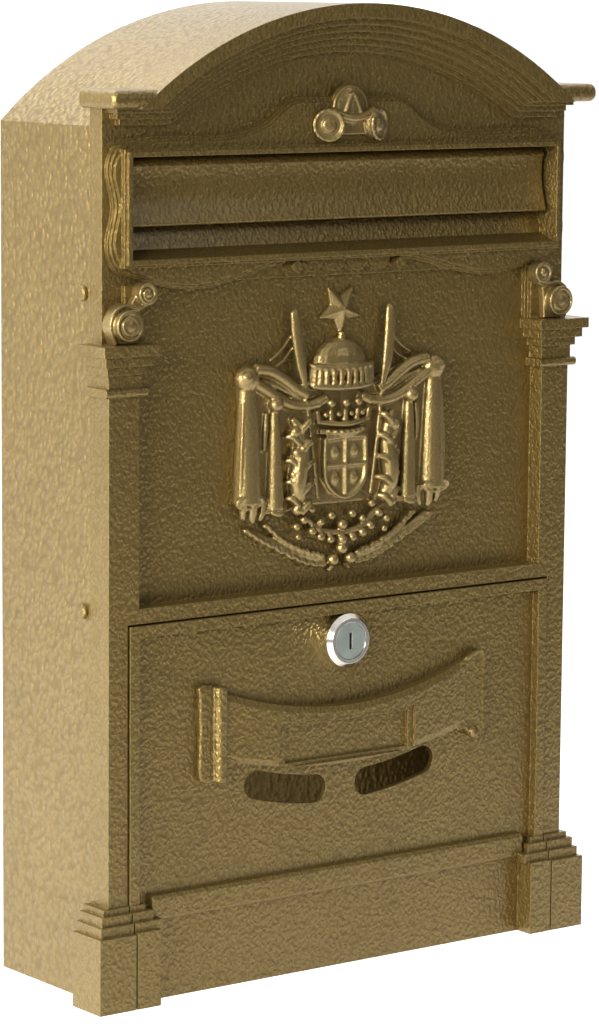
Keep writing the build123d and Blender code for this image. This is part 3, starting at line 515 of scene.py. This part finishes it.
def crest_mantle(clay):
    """Rolled shoulders, swags and hanging folds with open lower ends."""
    outline = [(0, 249), (12, 250), (30, 257), (45, 260.5), (54, 257), (53, 240), (54.5, 204),
               (46, 198), (38, 198), (30, 198), (14, 200), (0, 200)]
    clay.plate(outline, ((0, -0.5), (0, 1.4), (0.8, 2.0)))
    clay.plate([(-x, z) for x, z in outline], ((0, -0.5), (0, 1.4), (0.8, 2.0)))
    clay.ball(49.6, 255.6, 2.4, 5.8, 5.6, 4.6, both=True)
    clay.ball(51.2, 256.6, 4.6, 3.0, 2.8, 2.8, both=True)
    swag(clay, [(46, 259.6), (38, 258.2), (31, 254.6), (24.5, 250.2), (19, 247.4)], 3.0, 2.5)
    swag(clay, [(47, 254.4), (39, 249.8), (32, 245.6), (24, 243.0), (16, 243.2), (9, 245.6)], 3.4, 2.3)
    swag(clay, [(43, 254.6), (35, 252.2), (28, 248.8), (22, 246.0)], 2.4, 1.3)
    clay.tube([(49.6, 252, 2.2, 3.9), (49.4, 240, 2.4, 4.7), (49.3, 222, 2.4, 5.7), (49.2, 203.6, 2.4, 6.5)],
              flat=0.86, sides=20, both=True)
    clay.tube([(52.6, 246, 4.4, 0.7), (53.6, 226, 4.8, 0.9), (54.2, 205, 4.6, 1.0)], both=True)
    rim = [(49.8 + 6.4 * math.cos(a), 204.4 + 2.6 * math.sin(a), 5.2 + 1.2 * math.sin(a), 1.0)
           for a in [math.pi * k / 8 for k in range(17)]]
    clay.tube(rim, both=True)
    clay.tube([(41.2, 205, 3.4, 1.6), (41.6, 199.5, 3.0, 1.5), (43.0, 196, 2.6, 1.0)], both=True)
    clay.tube([(46.8, 203, 4.0, 2.0), (47.2, 198, 3.4, 1.7), (46.6, 195.4, 2.8, 1.1)], both=True)
    clay.tube([(51.8, 203, 3.6, 1.8), (51.8, 199, 3.0, 1.4), (51.0, 197, 2.6, 1.0)], both=True)
    clay.ball(36.0, 244.4, 4.6, 3.2, 3.0, 3.2, both=True)
    clay.tube([(35.8, 242, 3.2, 2.0), (35.6, 230, 3.2, 2.8), (35.4, 214, 3.0, 3.6),
               (35.2, 200.6, 3.0, 4.2)], flat=0.95, sides=18, both=True)
    clay.tube([(39.8, 241, 3.0, 1.1), (40.4, 233, 3.2, 1.2), (40.6, 225, 2.6, 0.9)], both=True)
    clay.tube([(32.0, 199.6, 5.2, 1.0), (35.4, 198.4, 6.6, 1.1), (38.8, 199.6, 5.2, 1.0)], both=True)


def crest_shield(clay):
    """Blank shield with a raised rim and a plain cross, under a beaded coronet."""
    right = [(10.6, 228.5), (10.9, 220), (10.2, 211), (6.2, 205.6), (0, 203.0)]
    outline = right + [(-x, z) for x, z in reversed(right[:-1])]
    clay.plate(outline, ((0, -0.5), (0, 4.6), (1.0, 5.3)))
    rim = smooth_path([(x, z, 5.8, 0.95) for x, z in outline])
    clay.sweep(rim)
    clay.tube([(-10.4, 228.5, 5.8, 1.0), (0, 229.0, 6.0, 1.0), (10.4, 228.5, 5.8, 1.0)])
    clay.tube([(0, 228, 6.0, 0.8), (0, 204.5, 6.0, 0.8)])
    clay.tube([(-9.8, 217, 6.0, 0.8), (9.8, 217, 6.0, 0.8)])
    for x, z in ((5.2, 222.6), (5.0, 211.4)):
        clay.ball(x, z, 5.3, 2.2, 2.6, 1.2, both=True)
    clay.tube([(-12.4, 231.5, 3.6, 1.3), (0, 230.6, 6.4, 1.5), (12.4, 231.5, 3.6, 1.3)])
    clay.tube([(-13.2, 235.5, 3.6, 1.0), (0, 234.2, 6.6, 1.2), (13.2, 235.5, 3.6, 1.0)])
    for x in (-12.8, -6.6, 0.0, 6.6, 12.8):
        lean = x * 1.08
        clay.tube([(x, 235, 4.8 - abs(x) * 0.1, 1.5), (lean, 240.4, 5.4 - abs(x) * 0.12, 1.0)])
        clay.ball(lean, 243.2, 5.6 - abs(x) * 0.12, 1.9)
    for x in (-9.7, -3.3, 3.3, 9.7):
        clay.ball(x, 238.4, 5.4 - abs(x) * 0.1, 1.3)
    for x in (-9, -6, -3, 0, 3, 6, 9):
        clay.ball(x, 231.0 + 0.008 * x * x, 7.6 - 0.02 * x * x, 0.95)


def crest_leaves(clay):
    """Leafy scrolls on both sides of the shield."""
    clay.tube([(21.0, 200, 3.2, 2.2), (24.6, 208, 4.8, 3.6), (24.0, 217, 5.0, 3.9),
               (22.6, 226, 4.6, 3.2), (24.2, 234, 4.2, 2.4), (27.0, 238, 3.6, 1.4)], both=True)
    knobs = (
        (26.4, 232.5, 2.6),
        (25.4, 223.5, 2.5),
        (26.6, 214.5, 2.3),
        (25.2, 208.5, 2.5),
        (25.0, 199.5, 2.6),
    )
    for x, z, size in knobs:
        clay.ball(x, z, 5.2, size, size * 0.95, size, both=True)
    inner_tips = ((236, 18.6, 4.6), (227, 17.2, 5.0), (218, 16.4, 5.0), (209, 16.8, 4.8), (201, 18.0, 4.4))
    for z, reach, lift in inner_tips:
        leaf = [(24.0, z - 3, 6.4, 1.5), (20.6, z + 0.6, 7.2, 1.5), (reach, z + 1.6, lift, 1.0)]
        clay.tube(leaf, both=True)
    for z in (229, 219, 210, 203):
        leaf = [(24.6, z - 2, 6.6, 1.3), (28.0, z + 1.4, 5.4, 1.4), (30.2, z + 1.0, 3.4, 0.9)]
        clay.tube(leaf, both=True)


def crest_garland(clay):
    """Collar of beads and a hanging garland tied in the middle."""
    for x, z, size in ((20, 194.6, 2.0), (16, 199, 1.9), (15.6, 189.4, 2.0), (11, 193, 1.8),
                       (11.2, 186.8, 2.1), (6.0, 185.2, 2.0), (24, 192, 1.9), (23, 187.6, 1.6)):
        clay.ball(x, z, 3.4, size, both=True)
    clay.ball(0, 184.8, 3.8, 2.3)
    clay.ball(0, 191.2, 3.8, 2.4)
    clay.ball(5.6, 195.4, 3.4, 2.0, both=True)
    clay.tube([(20, 197, 2.2, 1.3), (11, 189.6, 2.6, 1.4), (0, 187.6, 2.8, 1.4)], both=True)
    outer = smooth_path([(49, 192), (43, 188.2), (36, 184.5), (25, 179.0), (17, 175.8), (9, 174.4)], 4)
    inner = smooth_path([(39, 193.4), (33, 188.4), (28, 185.2), (20, 181.6), (10, 178.6)], 4)
    for i, (x, z) in enumerate(outer):
        ahead = outer[min(i + 1, len(outer) - 1)]
        behind = outer[max(i - 1, 0)]
        slope = math.atan2(behind[1] - ahead[1], behind[0] - ahead[0])
        clay.ball(x, z, 2.2, 2.1, 1.2, 1.7, turn=slope + (0.55 if i % 2 else -0.35), both=True)
    for i, (x, z) in enumerate(inner):
        clay.ball(x, z, 2.4, 2.0, 1.2, 1.6, turn=0.5 + (0.5 if i % 2 else -0.4), both=True)
    clay.tube([(48, 192.4, 1.0, 1.5), (36, 186.4, 1.4, 1.7), (24, 180.8, 1.4, 1.8), (8, 176.4, 1.6, 1.7)],
              both=True)
    for x, z in ((0, 181.0), (-4.6, 176.4), (4.6, 176.4)):
        clay.ball(x, z, 3.6, 2.7)
    clay.tube([(3.0, 174.4, 2.0, 1.2), (5.6, 171.4, 1.6, 0.9)], both=True)


def crest():
    clay = Clay(FIELD_Y)
    crest_mantle(clay)
    crest_star(clay)
    crest_cap(clay)
    crest_staffs(clay)
    crest_leaves(clay)
    crest_shield(clay)
    crest_garland(clay)
    made = clay.to_object("crest_relief")
    fuse(made, 0.42, 1)
    trim_back(made, FIELD_Y)
    settle(made, ORNAMENT_FINE_PAINTED_HIGHLIGHT, "case", "hammered_bronze", "crest")


# ------------------------------------------------------------------ scroll brackets and keystone
def spiral(cx, cz, start_radius, end_radius, start, turns, relief, thick):
    steps = int(28 * abs(turns))
    path = []
    for k in range(steps + 1):
        t = k / steps
        radius = start_radius + (end_radius - start_radius) * t
        angle = start + 2 * math.pi * turns * t
        path.append((cx + radius * math.cos(angle), cz + radius * math.sin(angle), relief, thick))
    return path


def volute(clay, x, z, radius, face, side):
    """Rolled scroll end: a turned drum with a spiral bead on its face and a round eye."""
    back = -3.4
    clay.lathe(x, z, (
        (radius - 0.3, back), (radius - 0.3, face - 1.3), (radius, face - 0.9), (radius, face - 0.4),
        (radius - 0.5, face), (radius - 1.1, face), (radius - 1.4, face - 0.9), (radius * 0.3, face - 0.8),
    ))
    start = 0.6 if side > 0 else math.pi - 0.6
    coil = spiral(x, z, radius - 0.9, radius * 0.34, start, side * 1.25, face - 0.5, 0.55)
    clay.sweep(coil, sides=8)
    clay.lathe(x, z, ((radius * 0.36, face - 1.2), (radius * 0.34, face + 0.1), (radius * 0.14, face + 0.5)))


def console(side, node):
    """S-shaped bracket: a band runs from the small upper scroll round the large lower one."""
    clay = Clay(FRIEZE_Y)
    small = (side * 104.5, 294.0)
    large = (side * 114.0, 281.4)
    volute(clay, *small, 4.6, FRIEZE_Y + 4.7, side)
    volute(clay, *large, 6.5, FRIEZE_Y + 5.7, side)
    clay.lathe(*large, ((4.2, 0.0), (4.2, FRIEZE_Y + 5.6), (3.7, FRIEZE_Y + 6.0), (2.4, FRIEZE_Y + 5.7)))
    middle = [(102.2, 291.6), (104.0, 289.6), (107.0, 288.4), (110.4, 288.6), (115.0, 289.2), (119.2, 286.6),
              (121.0, 281.8), (120.0, 277.4), (118.4, 273.9)]
    path = smooth_path([(side * x, z) for x, z in middle], 6)
    near, far = [], []
    for i, (x, z) in enumerate(path):
        ahead = path[min(i + 1, len(path) - 1)]
        behind = path[max(i - 1, 0)]
        along = Vector((ahead[0] - behind[0], ahead[1] - behind[1])).normalized()
        near.append((x - along.y * 0.8, z + along.x * 0.8))
        far.append((x + along.y * 0.8, z - along.x * 0.8))
    clay.plate(near + far[::-1], ((0.15, 0.0), (0, 0.4), (0, 5.8), (0.25, 6.2)))
    web = [(side * x, z) for x, z in ((103.4, 290.6), (106.5, 297.0), (111.5, 289.0), (119.0, 286.6),
                                      (119.4, 277.0), (117.8, 273.8), (107.6, 273.8), (107.2, 281.0),
                                      (106.4, 287.4))]
    clay.plate(web, ((0, 0.0), (0, 5.0), (0.5, 5.4)))
    made = clay.to_object(node + "_scroll")
    fuse(made, 0.26, 2)
    seat_console(made, side)
    settle(made, ORNAMENT_FINE_PAINTED_HIGHLIGHT, "case", "hammered_bronze", node)


def seat_console(made, side):
    """Seat the bracket: nothing behind the wall face, nor behind the raised block beside it."""
    for vertex in made.data.vertices:
        x = abs(vertex.co.x) / MM
        limit = FRIEZE_Y if x > ATTIC_OUTER else ATTIC_Y
        vertex.co.y = min(vertex.co.y, (limit - ORIGIN_Y) * MM)


def keystone():
    """Two splayed volutes joined by a saddle, with a dome behind them."""
    clay = Clay(PLATE_Y)
    for side in LEFT_RIGHT:
        tilt = side * math.radians(24)
        x = side * 12.0
        z = 359.8
        clay.lathe(x, z, (
            (6.4, -1.6), (6.4, 2.6), (6.9, 3.0), (6.9, 3.6), (6.3, 4.1), (5.6, 4.1), (5.2, 3.3), (2.4, 3.4),
        ), tilt=tilt)
        clay.lathe(x, z, ((3.0, 2.0), (3.0, 3.9), (2.4, 4.4), (1.0, 4.6)), tilt=tilt)
        for k in range(16):
            angle = 2 * math.pi * k / 16
            across = 6.2 * math.cos(angle)
            clay.ball(
                x + across * math.cos(tilt) + 3.4 * math.sin(tilt),
                z + 6.2 * math.sin(angle),
                3.4 * math.cos(tilt) - across * math.sin(tilt),
                0.85,
            )
    clay.tube([(-11, 366.0, 2.0, 1.5), (-6, 363.6, 2.9, 1.7), (0, 362.6, 3.2, 1.8), (6, 363.6, 2.9, 1.7),
               (11, 366.0, 2.0, 1.5)])
    clay.plate([(-11, 355.4), (11, 355.4), (11, 366.0), (6, 364.2), (0, 363.2), (-6, 364.2), (-11, 366.0)],
               ((0, -0.6), (0, 1.2), (0.6, 1.8)))
    clay.ball(0, 366.2, -1.4, 9.6, 10.6, 4.2)
    clay.tube([(8.6 * math.cos(math.pi * k / 10), 366.2 + 9.4 * math.sin(math.pi * k / 10), 0.2, 0.8)
               for k in range(11)])
    clay.tube([(-4.0, 365.0, 2.4, 0.9), (0, 372.6, 1.9, 1.1), (4.0, 365.0, 2.4, 0.9)])
    made = clay.to_object("keystone_relief")
    fuse(made, 0.26, 1)
    for vertex in made.data.vertices:
        height = vertex.co.z / MM + ORIGIN_Z
        limit = PLATE_Y if height < PLATE_TOP else FRIEZE_Y
        vertex.co.y = min(vertex.co.y, (limit - ORIGIN_Y) * MM)
    settle(made, ORNAMENT_FINE_PAINTED_HIGHLIGHT, "case", "hammered_bronze", "keystone_scroll")


# ------------------------------------------------------------------ name scroll
def arc_height(x, half, edge, middle):
    """Height at x of the circular arc through (half, edge) and (0, middle)."""
    sag = edge - middle
    radius = (half * half + sag * sag) / (2 * sag)
    return middle + radius - math.sqrt(radius * radius - x * x)


def ribbon_skin(clay, half, low, high, face, back):
    """Closed ribbon bowed forward in the middle; face gives its front for a share of the width."""
    columns, rows = 56, 10
    shares = [k / rows for k in range(rows + 1)]
    front, rear = [], []
    for i in range(columns + 1):
        x = -half + 2 * half * i / columns
        z0, z1 = low(x), high(x)
        front.append([clay.bm.verts.new((x, face(x, share), z0 + (z1 - z0) * share)) for share in shares])
        rear.append([clay.bm.verts.new((x, back, z0 + (z1 - z0) * share)) for share in shares])
    for i in range(columns):
        for k in range(rows):
            clay.bm.faces.new((front[i][k], front[i + 1][k], front[i + 1][k + 1], front[i][k + 1]))
            clay.bm.faces.new((rear[i][k], rear[i][k + 1], rear[i + 1][k + 1], rear[i + 1][k]))
        clay.bm.faces.new((front[i][0], rear[i][0], rear[i + 1][0], front[i + 1][0]))
        clay.bm.faces.new((front[i][rows], front[i + 1][rows], rear[i + 1][rows], rear[i][rows]))
    for i in (0, columns):
        for k in range(rows):
            clay.bm.faces.new((front[i][k], front[i][k + 1], rear[i][k + 1], rear[i][k]))


def cut_away(made, tool):
    """Cut the tool's shape out of a piece, then drop the tool."""
    cut = made.modifiers.new("cut", "BOOLEAN")
    cut.operation = "DIFFERENCE"
    cut.solver = "EXACT"
    cut.object = tool
    apply_modifiers(made)
    bpy.data.objects.remove(tool)


def name_scroll():
    """Rolled ribbon on the door with a sunk, blank name field in two steps."""
    clay = Clay(DOOR_PANEL_Y)
    half_length = NAME_SCROLL_HALF
    bow = 2.6
    middle_face = -4.2
    rounding, rounded_share = 0.7, 0.1

    def face(x, share):
        edge = min(share, 1 - share)
        round_off = rounding * max(0.0, 1 - edge / rounded_share) ** 2
        return middle_face + bow * (x / half_length) ** 2 + round_off

    ribbon_skin(
        clay,
        half_length,
        lambda x: arc_height(x, half_length, 97.6, 89.5),
        lambda x: arc_height(x, half_length, 127.0, 114.6),
        face,
        DOOR_PANEL_Y,
    )
    made = clay.to_object("name_scroll_ribbon")
    pocket_steps = ((36.3, 91.0, 110.0, -2.4), (33.0, 92.6, 108.0, -0.8))
    for half, low, high, front in pocket_steps:
        box = Clay(0)
        box.cut_box(-half, half, -8.0, front, low, high)
        cut_away(made, box.to_object("pocket"))
    settle(made, BRONZE, "door", "hammered_bronze", "name_scroll")
    ends = Clay(DOOR_PANEL_Y)
    low, high = 88.5, 129.0
    left = [(-62, 95.6), (-66, low), (-72.4, low), (-75.2, 89.8), (-76.0, 92.6), (-75.6, 110), (-75.8, 124),
            (-76.4, 129.0), (-73.4, 130.4), (-68, 129.4), (-62, 128.0)]
    ends.plate(left, ((0, 0.0), (0, 2.3), (0.7, 2.9)))
    ends.lathe_up(-65.8, -1.15, 3.0, low, high)
    ends.tube([(-62, 98.4, 3.0, 1.0), (-58, 96.4, 3.2, 0.9)])
    right = [(62, 95.4), (66, 96.0), (69, 92.4), (73.0, 90.4), (75.4, 91.6), (76.2, 95.0), (75.8, 110),
             (76.2, 122), (76.4, 127.6), (75.0, 129.8), (72.4, 129.6), (66, 127.0), (62, 125.2)]
    ends.plate(right, ((0, 0.0), (0, 2.9), (0.7, 3.5)))
    ends.tube([(right_x, right_z, 3.2, 0.75) for right_x, right_z in right[5:12]])
    ends.ball(70.6, 93.8, 3.6, 2.3, 2.6, 2.2)
    rolled = ends.to_object("name_scroll_ends")
    fuse(rolled, 0.32, 2)
    trim_back(rolled, DOOR_PANEL_Y)
    settle(rolled, BRONZE, "door", "hammered_bronze", "name_scroll")


# ------------------------------------------------------------------ springs
def coil_spring(side, node):
    """Torsion spring of the flap: a close coil on the rod, a held leg and a free leg."""
    clay = Clay(0)
    pivot_y, pivot_z, wire, mean = 7.6, 343.0, 0.5, 1.9
    near, far = 86.9, 95.1
    anchor_y = pivot_y + 3.3
    turns = 8
    path = [(near, pivot_z - 8.2, -(pivot_y - 0.6), wire), (near, pivot_z - 3.0, -(pivot_y - 0.6), wire)]
    steps = 20 * turns
    for k in range(steps + 1):
        angle = math.pi + 2 * math.pi * turns * k / steps
        x = near + (far - near) * k / steps
        path.append((x, pivot_z - mean * math.sin(angle), -(pivot_y + mean * math.cos(angle)), wire))
    path.append((far, pivot_z, -anchor_y, wire))
    path.append((far + 0.6, pivot_z, -anchor_y, wire))
    path.append((112.9, pivot_z, -anchor_y, wire * 0.96))
    clay.sweep([(side * x, z, e, r) for x, z, e, r in path], sides=10, through=True)
    made = clay.to_object(node + "_coil")
    for polygon in made.data.polygons:
        polygon.use_smooth = True
    settle(made, SPRING_STEEL, "case", "zinc_steel", node)


# ------------------------------------------------------------------ stage and light
FLOOR_DROP = 0.065          # the box hangs on its wall and the open door reaches below its foot
FLOOR_HALF_SIZE = 30.0
# floor colour in front of the box: painted shade
FLOOR_PAINTED_SHADE = 0.12
FLOOR_PALE = 0.93
WORLD_BRIGHT_SIDE = (-0.30, 0.85, 0.43)
WORLD_DARK_UNTIL = -0.35
WORLD_BRIGHT_FROM = 0.3
WORLD_DARK = 0.10
WORLD_BRIGHT = 1.5


def add_floor():
    """Pale sweep under and behind the box; in front of it the floor's colour is painted dark, painted shade
    standing in for a dim studio there.
    """
    low = cad_box[0].z - FLOOR_DROP
    bm = bmesh.new()
    bmesh.ops.create_grid(bm, x_segments=1, y_segments=1, size=FLOOR_HALF_SIZE)
    mesh = bpy.data.meshes.new("floor")
    bm.to_mesh(mesh)
    bm.free()
    floor = bpy.data.objects.new("floor", mesh)
    floor.location = (0, 0, low)
    scene.collection.objects.link(floor)
    g = Graph("floor")
    place = g.node("ShaderNodeTexCoord").outputs["Object"]
    parts = g.node("ShaderNodeSeparateXYZ")
    g.link(place, parts.inputs["Vector"])
    speckle = g.node("ShaderNodeTexNoise", Scale=60.0, Detail=3.0)
    g.link(place, speckle.inputs["Vector"])
    reach = g.node("ShaderNodeMath", operation="MULTIPLY_ADD")
    reach.inputs[1].default_value = 0.5
    reach.inputs[2].default_value = 1.0
    g.link(parts.outputs["Y"], reach.inputs[0])
    # Floor colour darkens towards the front: painted shade, not the floor's own colour.
    painted_falloff = g.ramp(reach.outputs["Value"], (0.52, FLOOR_PAINTED_SHADE), (0.86, FLOOR_PALE))
    grain = g.ramp(speckle.outputs["Fac"], (0.3, 0.98), (0.7, 1.0))
    mixed = g.node("ShaderNodeMix", data_type="RGBA", blend_type="MULTIPLY")
    mixed.inputs["Factor"].default_value = 1.0
    g.link(painted_falloff, mixed.inputs["A"])
    g.link(grain, mixed.inputs["B"])
    g.link(mixed.outputs["Result"], g.shader.inputs["Base Color"])
    g.set(Roughness=0.9)
    mesh.materials.append(g.material)


def add_area_light(name, place, target, size, power, colour=(1, 1, 1)):
    data = bpy.data.lights.new(name, "AREA")
    data.shape = "RECTANGLE"
    data.size, data.size_y = size
    data.energy = power
    data.color = colour
    light = bpy.data.objects.new(name, data)
    light.location = place
    direction = Vector(target) - Vector(place)
    light.rotation_mode = "QUATERNION"
    light.rotation_quaternion = direction.to_track_quat("-Z", "Y")
    scene.collection.objects.link(light)


def add_world():
    """Studio surroundings: bright above, to the left and behind, dark in front and to the right."""
    world = bpy.data.worlds.new("studio")
    world.use_nodes = True
    tree = world.node_tree
    background = tree.nodes["Background"]
    place = tree.nodes.new("ShaderNodeTexCoord")
    facing = tree.nodes.new("ShaderNodeVectorMath")
    facing.operation = "DOT_PRODUCT"
    facing.inputs[1].default_value = WORLD_BRIGHT_SIDE
    tree.links.new(place.outputs["Generated"], facing.inputs[0])
    ramp = tree.nodes.new("ShaderNodeMapRange")
    ramp.interpolation_type = "SMOOTHSTEP"
    ramp.inputs["From Min"].default_value = WORLD_DARK_UNTIL
    ramp.inputs["From Max"].default_value = WORLD_BRIGHT_FROM
    ramp.inputs["To Min"].default_value = WORLD_DARK
    ramp.inputs["To Max"].default_value = WORLD_BRIGHT
    tree.links.new(facing.outputs["Value"], ramp.inputs["Value"])
    tree.links.new(ramp.outputs["Result"], background.inputs["Strength"])
    background.inputs["Color"].default_value = (1.0, 0.985, 0.96, 1.0)
    scene.world = world


def add_lights():
    add_world()
    add_area_light("key_left", (-1.75, -0.55, 0.50), (0, 0, 0.0), (1.5, 0.8), 78.0, (1.0, 0.98, 0.93))
    add_area_light("inside_bounce", (0, -0.045, -0.03), (0, 0.1, -0.03), (0.2, 0.34), 0.09, (1.0, 0.93, 0.8))
    add_area_light("top_soft", (-0.3, 0.9, 1.7), (0, 0, 0), (1.6, 1.2), 24.0)
    add_area_light("front_fill", (0.9, -1.8, 1.0), (0, 0, 0), (0.7, 0.7), 4.0, (1.0, 0.97, 0.93))


add_camera()
finish_nodes()
crest()
for console_side, console_node in ((-1, "console_left"), (1, "console_right")):
    console(console_side, console_node)
keystone()
name_scroll()
for spring_side, spring_node in ((-1, "flap_spring_left"), (1, "flap_spring_right")):
    coil_spring(spring_side, spring_node)
add_floor()
add_lights()
scene.view_settings.view_transform = "Standard"
